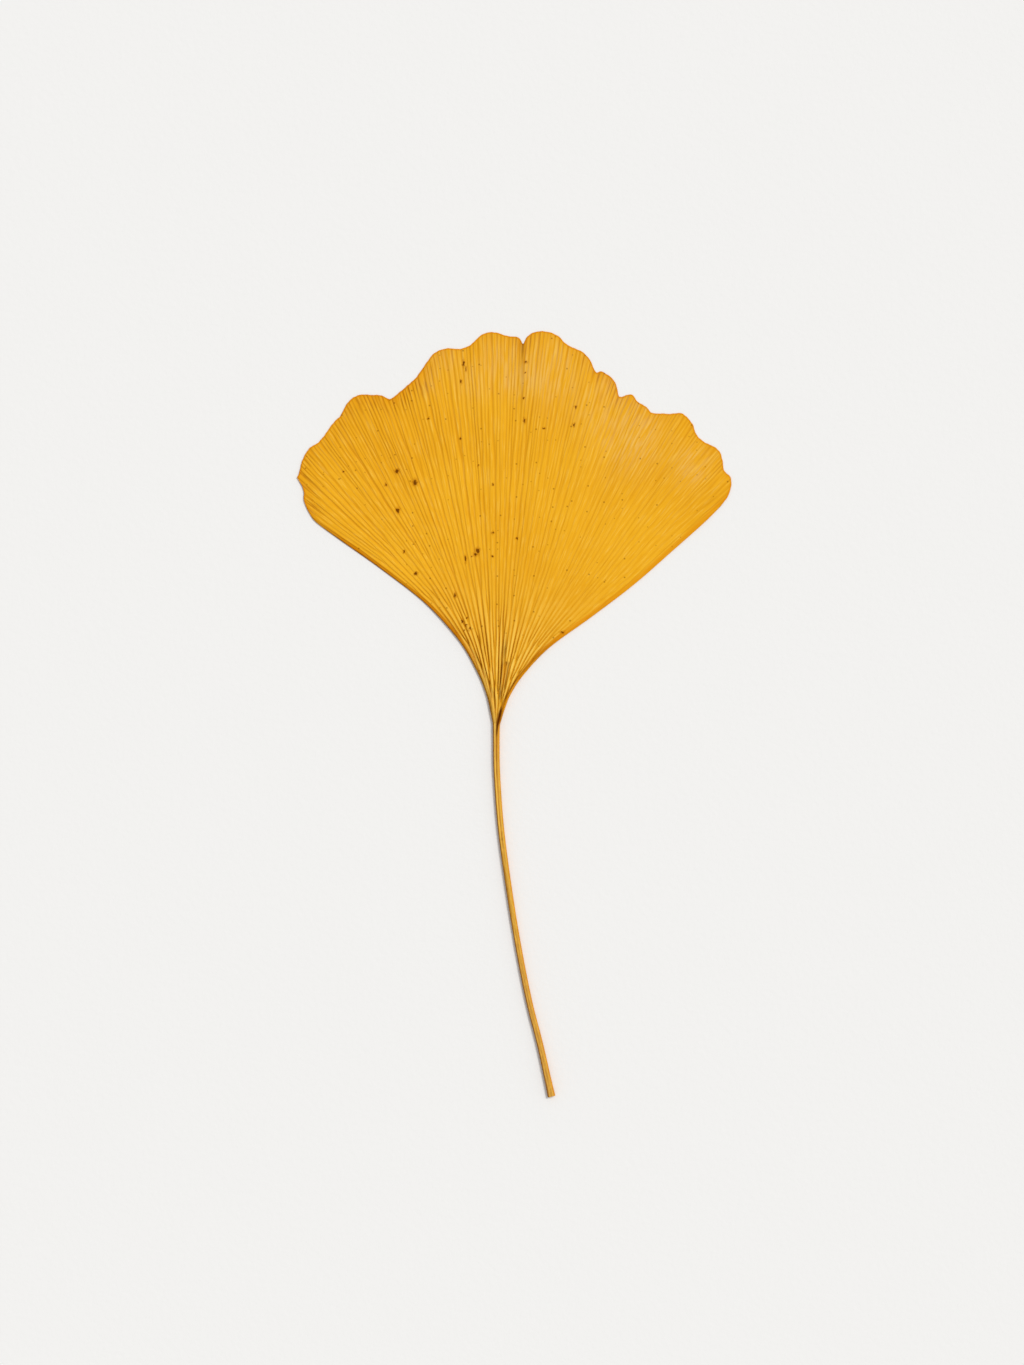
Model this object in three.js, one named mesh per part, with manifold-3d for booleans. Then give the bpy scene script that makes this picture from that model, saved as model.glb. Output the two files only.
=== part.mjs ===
// A ginkgo leaf, dried and pressed flat: a fan-shaped blade on a long stalk, grown as one piece.
// Millimetres, +Z up. The leaf lies on its underside with the blade towards +Y and the stalk towards -Y,
// and the origin is on the resting surface, under the middle of the leaf.
//
// The outline is drawn in polar form about the fan point, which is the place on the stalk that all the veins
// spread out from. An angle is in degrees from +Y, positive towards +X, and a radius runs from the fan point.

import * as THREE from "three";
import { mergeVertices } from "three/addons/utils/BufferGeometryUtils.js";
import Module from "manifold-3d";

const wasm = await Module();
wasm.setup();

// Driving dimensions.
const BLADE_THICKNESS = 0.3;
const BLADE_BASE = 4.5; // radius at which the stalk ends and the blade starts to open
const FUNNEL_END = 12; // distance at which the stalk has flattened out into the blade
const RIB_END = 36; // radius at which a thickened edge is no thicker than the blade
const RIB_WIDTH = 0.9; // a thickened edge next to the stalk, as wide as it is high
const SINK = 0.02; // what runs out inside the blade stops this far under its upper face

const MARGIN_POINTS = 170;
const EDGE_POINTS = 36;
const STEM_SIDES = 12;
const STALK_RINGS = 44;
const RIB_RINGS = 22;

// The two straight sides of the fan, from the stalk outwards: [angle, radius].
const LEFT_EDGE = [
  [-7.6, BLADE_BASE],
  [-9, 7],
  [-10.4, 10],
  [-13.9, 14],
  [-18.9, 20],
  [-25.8, 28],
  [-32.5, 37],
  [-36.4, 44.5],
  [-37.9, 48.5],
  [-38.4, 50.6],
  [-38.2, 52.4],
];
const RIGHT_EDGE = [
  [8.4, BLADE_BASE],
  [11.5, 7],
  [14.6, 10],
  [20.2, 14],
  [27.5, 20],
  [35.4, 28],
  [39.7, 37],
  [41.5, 46],
  [42.4, 53],
  [42.6, 57],
];

// The far margin from the left corner to the right one, a row to a lobe: [angle, radius].
const LOBES = [
  [[-38.2, 52.4], [-37.6, 54.3], [-36.7, 55.4], [-36.3, 56.6], [-36.4, 57.9]],
  [[-35.4, 58.6], [-33.3, 60.4], [-31.4, 61.2], [-30, 61.2]],
  [[-28, 62.1], [-26.2, 63.1], [-25, 63.5]],
  [[-23.4, 64.9], [-21.5, 65.6], [-19.5, 64.9], [-18, 64.2], [-16.7, 63.2]],
  [[-14.5, 64.2], [-12.6, 65.3], [-11.2, 66.6], [-9.8, 68.3], [-8.8, 69.2], [-7.3, 69.7], [-5.3, 69.4]],
  [[-3.8, 69.8], [-2.2, 71.4], [-0.6, 72], [1.3, 71.4], [3.1, 71.1], [3.75, 70.1]],
  [[4.2, 71.3], [5, 72.1], [6.5, 72.6], [8.5, 72.1], [9.8, 70.9], [12, 70.2], [13.5, 69.1], [14.7, 67.3]],
  [[15.6, 67.7], [17.5, 66.9], [18.4, 65.8], [19.2, 64.4]],
  [[20.2, 65.2], [21, 65.5], [21.9, 64.8], [23.5, 64.5], [24.8, 64]],
  [[27, 65], [29, 66.2], [31, 65.5], [32.3, 64.4], [33.6, 64]],
  [[36.4, 64.3], [37.8, 63.4], [39.2, 62.1]],
  [[40.6, 61.9], [41.6, 60.9], [42.4, 59], [42.6, 57]],
];

// The stalk from its cut end to where it has flattened out: x and y from the fan point, width and height.
const STALK = [
  [9.5, -59.5, 1.35, 1.1],
  [8.95, -57, 1.2, 1.1],
  [7.5, -50.5, 1.1, 1.05],
  [5.6, -43, 1.08, 1],
  [3.65, -33, 1.05, 1],
  [1.95, -22.3, 1.05, 1],
  [0.75, -13, 1.1, 1.05],
  [0.1, -4, 1.12, 1.1],
  [0, 2, 1.14, 1.15],
  [0, BLADE_BASE, 1.25, 1.2],
  [0.2, 8, 2.8, 0.8],
  [0.55, FUNNEL_END, 5.6, BLADE_THICKNESS - SINK],
];

// The point at an angle and a radius from the fan point.
function fromFanPoint([angle, radius]) {
  const turn = THREE.MathUtils.degToRad(angle);
  return new THREE.Vector2(radius * Math.sin(turn), radius * Math.cos(turn));
}

function splineThrough(polarPoints) {
  return new THREE.SplineCurve(polarPoints.map(fromFanPoint));
}

// A geometry as a solid that can be joined.
function solid(geometry) {
  const bare = geometry.clone();
  bare.deleteAttribute("normal");
  bare.deleteAttribute("uv");
  const merged = mergeVertices(bare);
  return new wasm.Manifold(
    new wasm.Mesh({
      numProp: 3,
      vertProperties: merged.attributes.position.array,
      triVerts: new Uint32Array(merged.index.array),
    }),
  );
}

// The blade as a flat sheet with the leaf's full outline.
function blade() {
  const left = splineThrough(LEFT_EDGE).getSpacedPoints(EDGE_POINTS);
  const margin = splineThrough(LOBES.flat()).getSpacedPoints(MARGIN_POINTS);
  const right = splineThrough(RIGHT_EDGE).getSpacedPoints(EDGE_POINTS).reverse();
  const outline = new THREE.Shape([...left, ...margin.slice(1), ...right.slice(1)]);
  return new THREE.ExtrudeGeometry(outline, { depth: BLADE_THICKNESS, bevelEnabled: false });
}

// A tapering stem that lies on the surface: a cylinder with each ring moved to its place along the path.
// sizeAt gives a ring's width and height. The lowest facet of every ring is flat on the surface.
function stem(placeAt, sizeAt, rings) {
  const shape = new THREE.CylinderGeometry(1, 1, 1, STEM_SIDES, rings, false, Math.PI / STEM_SIDES);
  const vertices = shape.attributes.position;
  const facetDepth = Math.cos(Math.PI / STEM_SIDES);
  const step = 1e-3;
  for (let i = 0; i < vertices.count; i++) {
    const along = vertices.getY(i) + 0.5;
    const centre = placeAt(along);
    const ahead = placeAt(Math.min(along + step, 1)).sub(placeAt(Math.max(along - step, 0))).normalize();
    const size = sizeAt(along);
    const across = (vertices.getX(i) * size.x) / 2;
    const up = ((vertices.getZ(i) / facetDepth + 1) * size.y) / 2;
    vertices.setXYZ(i, centre.x + ahead.y * across, centre.y - ahead.x * across, Math.max(up, 0));
  }
  return shape;
}

function stalk() {
  const places = new THREE.SplineCurve(STALK.map(([x, y]) => new THREE.Vector2(x, y)));
  const sizes = new THREE.SplineCurve(STALK.map(([, , width, height]) => new THREE.Vector2(width, height)));
  return stem((along) => places.getPoint(along), (along) => sizes.getPoint(along), STALK_RINGS);
}

// The thickened edge that runs up one side of the fan, just inside the outline, and thins as it goes.
// side is 1 where the blade lies to the right of the edge, and -1 where it lies to the left.
function rib(edge, side) {
  const outline = splineThrough(edge.filter(([, radius]) => radius <= RIB_END + 1));
  const buried = BLADE_THICKNESS - SINK;
  const sizeAt = (along) => {
    const size = THREE.MathUtils.lerp(RIB_WIDTH, buried, Math.sqrt(along));
    return new THREE.Vector2(size, size);
  };
  const placeAt = (along) => {
    const ahead = outline.getTangent(along);
    const inwards = (side * sizeAt(along).x) / 2;
    return outline.getPoint(along).add(new THREE.Vector2(ahead.y * inwards, -ahead.x * inwards));
  };
  return stem(placeAt, sizeAt, RIB_RINGS);
}

function ginkgoLeaf() {
  const joined = [stalk(), rib(LEFT_EDGE, 1), rib(RIGHT_EDGE, -1)].reduce(
    (leaf, geometry) => leaf.add(solid(geometry)),
    solid(blade()),
  );
  const { vertProperties, triVerts } = joined.getMesh();
  const geometry = new THREE.BufferGeometry();
  geometry.setAttribute("position", new THREE.BufferAttribute(vertProperties, 3));
  geometry.setIndex(new THREE.BufferAttribute(triVerts, 1));
  geometry.computeVertexNormals();
  const golden = new THREE.MeshStandardMaterial({ color: 0xeaaa26, roughness: 0.6, metalness: 0 });
  const leaf = new THREE.Mesh(geometry, golden);
  leaf.name = "ginkgo_leaf";
  return leaf;
}

const leaf = ginkgoLeaf();
const middle = new THREE.Box3().setFromObject(leaf).getCenter(new THREE.Vector3());
leaf.position.set(-middle.x, -middle.y, 0);

const part = new THREE.Group();
part.add(leaf);
export default part;
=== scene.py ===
"""A dried and pressed ginkgo leaf that lies flat on a pale surface.

The leaf is one closed mesh. It starts as a grid, with more columns towards the lobed margin, that is given
a lower skin. Each point is then moved to its place on the leaf: the grid's columns fan out as the veins do,
and its rows run from the cut end of the stalk to the margin.

The formulas are in millimetres and radians in the leaf's own plane, about the fan point, which is the place
on the stalk that the veins spread out from. "Across" goes from 0 at the fan's left limit to 1 at its right
one. The limits are the leaf's two edges for the grid's columns, and the outermost veins for the veins.
"Octave" goes up by 1 each time that the distance between two rays of the fan doubles, and each vein forks
once in an octave, so the veins stay about as far apart all over the blade.
"""

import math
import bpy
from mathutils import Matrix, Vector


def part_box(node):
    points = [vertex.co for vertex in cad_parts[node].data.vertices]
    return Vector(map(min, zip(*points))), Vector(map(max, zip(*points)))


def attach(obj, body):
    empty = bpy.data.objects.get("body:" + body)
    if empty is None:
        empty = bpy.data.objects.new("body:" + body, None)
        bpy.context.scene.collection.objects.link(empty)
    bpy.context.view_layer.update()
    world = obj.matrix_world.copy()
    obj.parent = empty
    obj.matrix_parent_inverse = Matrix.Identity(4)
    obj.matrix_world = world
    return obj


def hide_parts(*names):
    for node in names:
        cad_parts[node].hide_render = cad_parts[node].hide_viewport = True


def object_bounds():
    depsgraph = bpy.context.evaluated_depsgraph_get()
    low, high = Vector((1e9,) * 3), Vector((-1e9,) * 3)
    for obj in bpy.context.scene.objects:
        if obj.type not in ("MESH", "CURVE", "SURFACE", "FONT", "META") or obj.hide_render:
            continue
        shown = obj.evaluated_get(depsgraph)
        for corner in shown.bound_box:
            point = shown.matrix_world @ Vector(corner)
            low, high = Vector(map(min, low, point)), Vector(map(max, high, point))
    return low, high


bl_info = {
    "name": "Pressed Ginkgo Leaf",
    "version": (1, 0, 0),
    "blender": (4, 5, 0),
    "location": "View3D > Sidebar > Leaf",
    "description": "Models a dried, pressed ginkgo leaf with forking veins and the surface it lies on",
    "category": "Add Mesh",
}

import bmesh
import bpy
import numpy as np
from bpy.props import FloatProperty, FloatVectorProperty, PointerProperty
from mathutils import Vector
from mathutils.kdtree import KDTree

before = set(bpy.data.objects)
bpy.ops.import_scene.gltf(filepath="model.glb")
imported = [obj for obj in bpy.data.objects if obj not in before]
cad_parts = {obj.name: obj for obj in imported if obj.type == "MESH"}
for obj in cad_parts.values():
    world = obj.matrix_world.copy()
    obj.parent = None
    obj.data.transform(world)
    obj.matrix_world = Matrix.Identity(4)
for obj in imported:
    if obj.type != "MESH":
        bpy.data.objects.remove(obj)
CAD_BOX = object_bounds()

NODE = "ginkgo_leaf"
PIECE = "pressed_leaf"
MM = 0.001

# The outline, as in the CAD model: angle in degrees from +Y, positive towards +X, and radius.
# The blade starts at the radius BLADE_BASE.
BLADE_BASE = 4.5
LEFT_EDGE = (
    (-7.6, BLADE_BASE), (-9, 7), (-10.4, 10), (-13.9, 14), (-18.9, 20), (-25.8, 28),
    (-32.5, 37), (-36.4, 44.5), (-37.9, 48.5), (-38.4, 50.6), (-38.2, 52.4),
)
RIGHT_EDGE = (
    (8.4, BLADE_BASE), (11.5, 7), (14.6, 10), (20.2, 14), (27.5, 20), (35.4, 28),
    (39.7, 37), (41.5, 46), (42.4, 53), (42.6, 57),
)
LOBES = (
    ((-38.2, 52.4), (-37.6, 54.3), (-36.7, 55.4), (-36.3, 56.6), (-36.4, 57.9)),
    ((-35.4, 58.6), (-33.3, 60.4), (-31.4, 61.2), (-30, 61.2)),
    ((-28, 62.1), (-26.2, 63.1), (-25, 63.5)),
    ((-23.4, 64.9), (-21.5, 65.6), (-19.5, 64.9), (-18, 64.2), (-16.7, 63.2)),
    ((-14.5, 64.2), (-12.6, 65.3), (-11.2, 66.6), (-9.8, 68.3), (-8.8, 69.2), (-7.3, 69.7), (-5.3, 69.4)),
    ((-3.8, 69.8), (-2.2, 71.4), (-0.6, 72), (1.3, 71.4), (3.1, 71.1), (3.75, 70.1)),
    ((4.2, 71.3), (5, 72.1), (6.5, 72.6), (8.5, 72.1), (9.8, 70.9), (12, 70.2), (13.5, 69.1), (14.7, 67.3)),
    ((15.6, 67.7), (17.5, 66.9), (18.4, 65.8), (19.2, 64.4)),
    ((20.2, 65.2), (21, 65.5), (21.9, 64.8), (23.5, 64.5), (24.8, 64)),
    ((27, 65), (29, 66.2), (31, 65.5), (32.3, 64.4), (33.6, 64)),
    ((36.4, 64.3), (37.8, 63.4), (39.2, 62.1)),
    ((40.6, 61.9), (41.6, 60.9), (42.4, 59), (42.6, 57)),
)
# The outermost veins follow the two edges and then run on, past the corners of the blade.
LEFT_VEIN = LEFT_EDGE[:7] + ((-35.0, 41), (-37.8, 46), (-40.2, 52), (-42.2, 58), (-44, 66), (-45, 73))
RIGHT_VEIN = RIGHT_EDGE[:8] + ((42.8, 53), (43.6, 58), (44.4, 65), (45, 73))
# The stalk from its cut end to the blade: x and y from the fan point, width and height.
STALK = (
    (9.5, -59.5, 1.35, 1.1), (8.95, -57, 1.2, 1.1), (7.5, -50.5, 1.1, 1.05), (5.6, -43, 1.08, 1),
    (3.65, -33, 1.05, 1), (1.95, -22.3, 1.05, 1), (0.75, -13, 1.1, 1.05), (0.1, -4, 1.12, 1.1),
    (0, 2, 1.14, 1.12), (0.02, BLADE_BASE, 1.256, 1.12),
)

# How many samples stand for each curve of the outline.
EDGE_SAMPLES = 500
MARGIN_SAMPLES = 4000
STALK_SAMPLES = 900

# The ribs: widths and height beside the stalk, and the width and the radius where they end.
LEFT_RIB = 0.86
RIGHT_RIB = 0.56
RIB_HEIGHT = 1.08
OUTER_RIB = 0.34
RIB_END = 36.0
MARGIN_ROUNDING = 0.16  # the margin's rounded width

# The veins.
FIRST_CELLS = 9  # cells across the fan at octave 0, each holding one vein
LOWEST_OCTAVE = -3
CROWDING = 0.4  # octaves by which the veins lie closer together near the base
FORK_SPREAD = 0.4  # the forks of one octave start over this much of it
FORK_LENGTH = 0.35  # the part of an octave over which a fork opens
FORK_PARTING = 0.25  # how far each half of a fork moves to its side, in cells
FORK_STEP = 0.618034  # these two scatter the forks from cell to cell and from octave to octave
OCTAVE_STEP = 0.7548777
MAP_OCTAVES = 16  # the vein map holds octaves from MAP_LOWEST up, over a height of 1
MAP_LOWEST = -8
GROOVE_WIDTH = 0.26  # from the middle of a vein to where its groove ends

# The grid.
COLUMNS = 32
STALK_ROW = 0.46
# Each band's end and the distance between its rows. The columns double where a band starts.
BANDS = ((9.0, 0.24), (18.0, 0.40), (36.0, 0.56), (72.0, 0.74))
EVEN_ROWS_END = 30.0  # beyond this radius the rows spread out to reach the margin
# How far short of the margin the last rows stop, as parts of the way out to it.
RIM_ROWS = (0.012, 0.0065, 0.003, 0.001, 0.0)
MARGIN_ZONE = 45.0  # the radius beyond which the distance to the margin is measured
FAR_INLAND = 20.0  # the distance to the margin never counts as more than this
STALK_MAP_LENGTH = 80.0  # the stalk map's height of 1 holds this length of stalk

# Marks on the blade: x and y from the fan point, radius, and how much longer than wide.
BLEMISHES = (
    (-17.1, 48.0, 0.36, 1.0), (-14.0, 46.1, 0.40, 1.2), (-16.9, 41.3, 0.31, 1.4), (-3.2, 34.3, 0.34, 1.3),
    (-3.6, 33.7, 0.36, 0.7), (-4.2, 33.3, 0.20, 0.8), (-5.3, 32.9, 0.15, 3.6), (-5.6, 66.6, 0.15, 3.6),
    (-5.2, 65.6, 0.13, 3.0), (-6.1, 63.4, 0.17, 1.8), (-11.7, 57.1, 0.18, 1.0), (-6.2, 53.6, 0.20, 1.2),
    (-3.1, 49.0, 0.15, 1.0), (-0.6, 45.7, 0.18, 1.1), (-0.7, 33.4, 0.17, 1.2), (-0.6, 37.4, 0.17, 1.5),
    (-26.3, 48.0, 0.20, 1.0), (-19.1, 45.6, 0.16, 1.5), (-15.9, 34.2, 0.23, 1.0), (-13.8, 30.4, 0.30, 0.8),
    (-7.1, 26.7, 0.20, 2.0), (-5.9, 22.2, 0.20, 1.6), (-5.2, 21.5, 0.24, 0.7), (-4.6, 20.9, 0.15, 1.6),
    (-5.6, 20.6, 0.14, 1.0), (-5.0, 22.8, 0.13, 1.0), (3.6, 36.5, 0.20, 1.0), (13.7, 59.1, 0.22, 1.0),
    (13.4, 56.0, 0.17, 1.6), (8.2, 55.4, 0.20, 1.0), (4.8, 56.7, 0.20, 2.0), (5.0, 66.8, 0.25, 0.8),
    (4.9, 64.9, 0.15, 1.0), (4.7, 60.6, 0.17, 1.2), (11.3, 20.3, 0.36, 0.6),
)
# Paler, tan areas: x and y from the fan point, and radius.
PALE_PATCHES = (
    (-11.7, 63.6, 2.0), (-8.3, 67.2, 2.0), (-4.3, 63.1, 2.4), (1.5, 66.0, 4.0), (9.0, 65.5, 5.0),
    (20.0, 60.0, 5.0), (22.5, 54.5, 5.5), (34.0, 49.0, 3.0),
)

# The camera's frame: its height in leaf lengths, and how far its middle is from the middle of the leaf.
VIEW_HEIGHT = 1.783
VIEW_RIGHT = -0.34
VIEW_UP = 5.4
FAR_CLIP = 20.0  # metres

SURFACE_SIZE = 12.0  # metres
SURFACE_GAP = 0.02  # the surface lies this far under the leaf


def linear(red, green, blue):
    """A colour given in the usual 0 to 255 steps, as the linear values that shaders take."""
    values = (channel / 255 for channel in (red, green, blue))
    return tuple(v / 12.92 if v <= 0.04045 else ((v + 0.055) / 1.055) ** 2.4 for v in values)


def lerp(low, high, part):
    return low + (high - low) * part


def smoothstep(value, low, high):
    """From 0 up to 1 as the value goes from low to high."""
    step = np.clip((value - low) / (high - low), 0.0, 1.0)
    return step * step * (3.0 - 2.0 * step)


def fade(value, low, high):
    """From 1 down to 0 as the value goes from low to high."""
    return 1.0 - smoothstep(value, low, high)


def ramp(value, low, high, at_low, at_high):
    """From at_low to at_high as the value goes from low to high."""
    return lerp(at_low, at_high, smoothstep(value, low, high))


def ridge(value, middle, width):
    """A soft hump of height 1, about as wide as the width on either side of the middle."""
    return np.exp(-(((value - middle) / width) ** 2))


def fraction(value):
    return value - np.floor(value)


def curve_through(points, samples):
    """A Catmull-Rom curve through the points, as in the CAD model."""
    points = np.array(points, dtype=float)
    padded = np.vstack([points[:1], points, points[-1:]])
    place = np.linspace(0.0, len(points) - 1.0, samples)
    index = np.minimum(place.astype(int), len(points) - 2)
    t = (place - index)[:, None]
    p0, p1, p2, p3 = (padded[index + k] for k in range(4))
    v1, v2 = (p2 - p0) / 2, (p3 - p1) / 2
    return (2 * p1 - 2 * p2 + v1 + v2) * t**3 + (3 * p2 - 3 * p1 - 2 * v1 - v2) * t**2 + v1 * t + p1


def polar_curve(points, samples):
    """A curve through points that are given as an angle in degrees and a radius."""
    angles = np.radians([angle for angle, _ in points])
    radii = np.array([radius for _, radius in points], dtype=float)
    return curve_through(np.column_stack([radii * np.sin(angles), radii * np.cos(angles)]), samples)


def to_polar(points):
    """The radius and the angle of each point."""
    return np.hypot(points[:, 0], points[:, 1]), np.arctan2(points[:, 0], points[:, 1])


class Rays:
    """Curved rays that spread out from the stalk, between a left and a right limit."""

    def __init__(self, left, right):
        self.left = to_polar(left)
        self.right = to_polar(right)
        self.spread_left = self.left[1].min()
        self.spread_right = self.right[1].max()

    def limits(self, radius):
        """The angles of the left and the right limit at a radius."""
        return np.interp(radius, *self.left), np.interp(radius, *self.right)

    def opening(self, radius, ray):
        """How far the limit on a ray's side has opened at a radius, from 0 to 1, and its widest angle."""
        left, right = self.limits(radius)
        spread = np.where(ray < 0, self.spread_left, self.spread_right)
        return np.where(ray < 0, left, right) / spread, spread

    def turn(self, across, radius):
        """The angle that a ray ends up at, and how much of it the ray has turned through at a radius."""
        ray = lerp(self.spread_left, self.spread_right, across)
        opened, spread = self.opening(radius, ray)
        return ray, opened / (opened + (1 - opened) * ray / spread)

    def angle(self, across, radius):
        """The angle at a radius on one of the rays."""
        ray, turned = self.turn(across, radius)
        return ray * turned

    def across(self, radius, angle):
        """Which ray goes through a point. This undoes angle."""
        opened, spread = self.opening(radius, angle)
        ray = angle * opened / (opened - (1 - opened) * angle / spread)
        return (ray - self.spread_left) / (self.spread_right - self.spread_left)

    def octave(self, across, radius):
        """The octave at a radius on one of the rays."""
        _, turned = self.turn(across, radius)
        crowding = CROWDING * fade(radius, 9.0, 34.0)
        return np.maximum(np.log2(radius * turned**2 / BLADE_BASE) + crowding, LOWEST_OCTAVE)

    def cell_width(self):
        """The width in millimetres of a cell at the start of an octave."""
        return BLADE_BASE * (self.spread_right - self.spread_left) / FIRST_CELLS


def crimped(margin):
    """The margin with the small, uneven teeth that the ends of the veins give it."""
    radius, angle = to_polar(margin)
    degrees = np.degrees(angle)
    teeth = 0.020 * np.sin(degrees * 5.3) + 0.015 * np.sin(degrees * 9.1 + 1.0)
    teeth += 0.030 * np.sin(degrees * 2.7)
    ends = smoothstep(np.minimum(degrees - degrees[0], degrees[-1] - degrees), 0.0, 2.0)
    radius = radius + teeth * ends
    return np.column_stack([radius * np.sin(angle), radius * np.cos(angle)])


LEFT = polar_curve(LEFT_EDGE, EDGE_SAMPLES)
RIGHT = polar_curve(RIGHT_EDGE, EDGE_SAMPLES)
MARGIN = crimped(polar_curve([point for lobe in LOBES for point in lobe], MARGIN_SAMPLES))
OUTLINE_RAYS = Rays(LEFT, RIGHT)
VEIN_RAYS = Rays(polar_curve(LEFT_VEIN, EDGE_SAMPLES), polar_curve(RIGHT_VEIN, EDGE_SAMPLES))


def reach(across):
    """The radius of the margin at the end of each of the outline's rays."""
    radius, angle = to_polar(MARGIN)
    rising = np.linspace(0, 1e-6, len(radius))  # keeps each end above the one before it
    ends = np.maximum.accumulate(OUTLINE_RAYS.across(radius, angle)) + rising
    return np.interp(across, ends, radius)


def vein_distance(across, octave):
    """The distance in millimetres to the nearest vein. The leaf's material repeats this in shader nodes."""
    band = np.floor(octave)
    cells = across * FIRST_CELLS * 2.0**band
    start = FORK_SPREAD * fraction(np.floor(cells) * FORK_STEP + band * OCTAVE_STEP)
    parting = FORK_PARTING * smoothstep(octave - band, start, start + FORK_LENGTH)
    return np.abs(np.abs(fraction(cells) - 0.5) - parting) * VEIN_RAYS.cell_width() * 2.0 ** (octave - band)


def wander(across, octave):
    """Small shifts that make the veins a little wavy and uneven in their spacing."""
    shift = 0.0030 * np.sin(23.0 * across)
    shift += 0.0014 * np.sin(107.0 * across + 0.3 * octave)
    shift += 0.0009 * np.sin(263.0 * across - 0.5 * octave + 1.0)
    return shift + 0.0003 * np.sin(29.0 * octave + 60.0 * across)


def vigour(across, octave):
    """How strongly each vein shows, about 0.3 to 1."""
    waves = 0.15 * np.sin(171.0 * across + 1.1 * octave + 1.0)
    waves += 0.11 * np.sin(397.0 * across - 0.9 * octave)
    return 0.62 + waves + 0.06 * np.sin(67.0 * across + 2.3 * octave)


def distance_to(curve, x, y):
    """The distance from each point to the nearest sample of a finely sampled curve."""
    tree = KDTree(len(curve))
    for index, (px, py) in enumerate(curve):
        tree.insert((px, py, 0.0), index)
    tree.balance()
    return np.array([tree.find((px, py, 0.0))[2] for px, py in zip(x, y)])


def bump_at(x, y, centre_x, centre_y, radius_x, radius_y=None):
    """A soft round hump of height 1."""
    return ridge(x, centre_x, radius_x) * ridge(y, centre_y, radius_y or radius_x)


def fan_point():
    """The fan point in the CAD model's frame, and what a millimetre of the outline is in metres."""
    low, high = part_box(NODE)
    outline = np.vstack([LEFT, MARGIN, RIGHT])
    scale = (high[0] - low[0]) / (outline[:, 0].max() - outline[:, 0].min())
    return low[0] - outline[:, 0].min() * scale, high[1] - outline[:, 1].max() * scale, scale


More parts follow.
